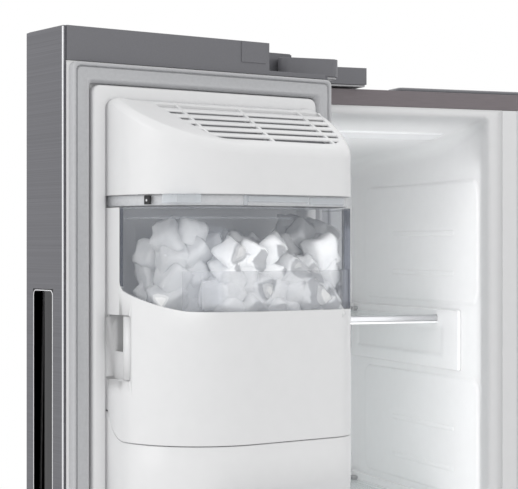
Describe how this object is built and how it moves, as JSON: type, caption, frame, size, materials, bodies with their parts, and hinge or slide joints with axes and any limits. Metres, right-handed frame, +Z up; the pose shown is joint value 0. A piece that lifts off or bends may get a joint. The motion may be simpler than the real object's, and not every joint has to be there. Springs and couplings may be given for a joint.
{
  "type": "side by side refrigerator",
  "caption": "Side by side refrigerator with both doors open, an ice maker and clear ice bucket in the freezer door, glass shelves, drawers and door bins.",
  "frame": {"origin": "centre of the footprint of the whole object, doors open at rest, on the floor", "axes": "+Z up, front of the cabinet faces -Y, +X to the right seen from the front"},
  "size_m": [1.6195, 1.1514, 1.787],
  "materials": {
    "stainless": "brushed upright grain",
    "cap_grey": "satin grey moulding",
    "case_paint": "satin grey paint",
    "rail": "satin warm grey",
    "white_liner": "semi gloss white",
    "white_moulding": "satin white",
    "gasket": "soft grey vinyl",
    "clear_plastic": "clear",
    "shelf_glass": "clear with a bright trim",
    "foam": "cast foam",
    "black_plastic": "satin black",
    "black_glass": "gloss black",
    "zinc_steel": "zinc plated",
    "rubber": "black rubber"
  },
  "bodies": {
    "cabinet": {"outer_case": "case_paint", "back_panel": "case_paint", "top_rail": "rail", "freezer_liner": "white_liner", "fridge_liner": "white_liner", "insulation": "foam", "mullion_cover": "white_liner", "base_frame": "zinc_steel", "foot_left": "rubber", "foot_right": "rubber", "toe_grille": "cap_grey", "compressor": "black_plastic", "machine_cover": "case_paint", "hinge_plate_top_left": "zinc_steel", "hinge_plate_top_right": "zinc_steel", "hinge_cover_left": "cap_grey", "hinge_cover_right": "cap_grey", "evaporator_cover": "white_liner", "freezer_shelf_1": "shelf_glass", "freezer_shelf_2": "shelf_glass", "freezer_shelf_3": "shelf_glass", "fridge_shelf_1": "shelf_glass", "fridge_shelf_2": "shelf_glass", "fridge_shelf_3": "shelf_glass", "crisper_cover": "shelf_glass"},
    "freezer_door": {"freezer_door_skin": "stainless", "freezer_door_core": "foam", "freezer_door_cap": "cap_grey", "freezer_door_liner": "white_liner", "freezer_door_gasket": "gasket", "freezer_door_handle": "black_plastic", "freezer_door_bin_1": "clear_plastic", "freezer_door_bin_2": "clear_plastic", "ice_hood": "white_liner", "dispenser_recess": "black_plastic", "dispenser_panel": "black_glass"},
    "fridge_door": {"fridge_door_skin": "stainless", "fridge_door_core": "foam", "fridge_door_cap": "cap_grey", "fridge_door_liner": "white_liner", "fridge_door_gasket": "gasket", "fridge_door_handle": "black_plastic", "fridge_door_bin_1": "clear_plastic", "fridge_door_bin_2": "clear_plastic", "fridge_door_bin_3": "clear_plastic"},
    "freezer_drawer_1": {"freezer_drawer_1": "clear_plastic"},
    "freezer_drawer_2": {"freezer_drawer_2": "clear_plastic"},
    "crisper_1": {"crisper_1": "clear_plastic"},
    "crisper_2": {"crisper_2": "clear_plastic"},
    "condenser_fan": {"condenser_fan": "black_plastic"},
    "roller_left": {"roller_left": "rubber"},
    "roller_right": {"roller_right": "rubber"},
    "ice_tray": {"ice_tray": "white_moulding"},
    "ice_test_button": {"ice_test_button": "black_plastic"},
    "ice_bucket": {"ice_bucket_window": "clear_plastic", "ice_bucket_base": "white_liner"},
    "ice_auger": {"ice_auger": "white_moulding"},
    "dispenser_lever": {"dispenser_lever": "black_plastic"},
    "chute_flap": {"chute_flap": "black_plastic"},
    "drip_tray": {"drip_tray": "black_plastic"}
  },
  "joints": [
    {"name": "freezer_door_hinge", "type": "hinge", "parent": "cabinet", "child": "freezer_door", "pos_m": [-0.438, -0.16, 0.9], "axis": [0, 0, -1], "range_deg": [-165.5, 4.5]},
    {"name": "fridge_door_hinge", "type": "hinge", "parent": "cabinet", "child": "fridge_door", "pos_m": [0.438, -0.16, 0.9], "axis": [0, 0, 1], "range_deg": [-136, 34]},
    {"name": "freezer_drawer_1_slide", "type": "slide", "parent": "cabinet", "child": "freezer_drawer_1", "axis": [0, -1, 0], "range_m": [0, 0.2]},
    {"name": "freezer_drawer_2_slide", "type": "slide", "parent": "cabinet", "child": "freezer_drawer_2", "axis": [0, -1, 0], "range_m": [0, 0.2]},
    {"name": "crisper_1_slide", "type": "slide", "parent": "cabinet", "child": "crisper_1", "axis": [0, -1, 0], "range_m": [0, 0.2]},
    {"name": "crisper_2_slide", "type": "slide", "parent": "cabinet", "child": "crisper_2", "axis": [0, -1, 0], "range_m": [0, 0.2]},
    {"name": "condenser_fan_spin", "type": "hinge", "parent": "cabinet", "child": "condenser_fan", "pos_m": [0.064, 0.465, 0.175], "axis": [1, 0, 0], "continuous": true},
    {"name": "roller_left_spin", "type": "hinge", "parent": "cabinet", "child": "roller_left", "pos_m": [-0.394, 0.524, 0.018], "axis": [1, 0, 0], "continuous": true},
    {"name": "roller_right_spin", "type": "hinge", "parent": "cabinet", "child": "roller_right", "pos_m": [0.394, 0.524, 0.018], "axis": [1, 0, 0], "continuous": true},
    {"name": "ice_tray_twist", "type": "hinge", "parent": "freezer_door", "child": "ice_tray", "pos_m": [-0.57259, -0.34251, 1.619], "axis": [-0.9681, -0.2504, 0], "range_deg": [0, 150]},
    {"name": "ice_test_button_press", "type": "slide", "parent": "freezer_door", "child": "ice_test_button", "axis": [0, 0, 1], "range_m": [0, 0.002], "stiffness_N_per_m": 300, "springref_m": -0.002},
    {"name": "ice_bucket_pull", "type": "slide", "parent": "freezer_door", "child": "ice_bucket", "axis": [0.2504, -0.9681, 0], "range_m": [0, 0.16]},
    {"name": "ice_auger_spin", "type": "hinge", "parent": "ice_bucket", "child": "ice_auger", "pos_m": [-0.57346, -0.35513, 1.402], "axis": [0.2504, -0.9681, 0], "continuous": true},
    {"name": "dispenser_lever_press", "type": "hinge", "parent": "freezer_door", "child": "dispenser_lever", "pos_m": [-0.60651, -0.22734, 1.14], "axis": [-0.9681, -0.2504, 0], "range_deg": [0, 6.5], "stiffness_Nm_per_rad": 1.5, "springref_deg": -2.86},
    {"name": "chute_flap_open", "type": "hinge", "parent": "freezer_door", "child": "chute_flap", "pos_m": [-0.604, -0.23702, 1.194], "axis": [-0.9681, -0.2504, 0], "range_deg": [0, 60], "stiffness_Nm_per_rad": 0.3, "springref_deg": -8.59},
    {"name": "drip_tray_lift", "type": "slide", "parent": "freezer_door", "child": "drip_tray", "axis": [0, 0, 1], "range_m": [0, 0.03]}
  ]
}
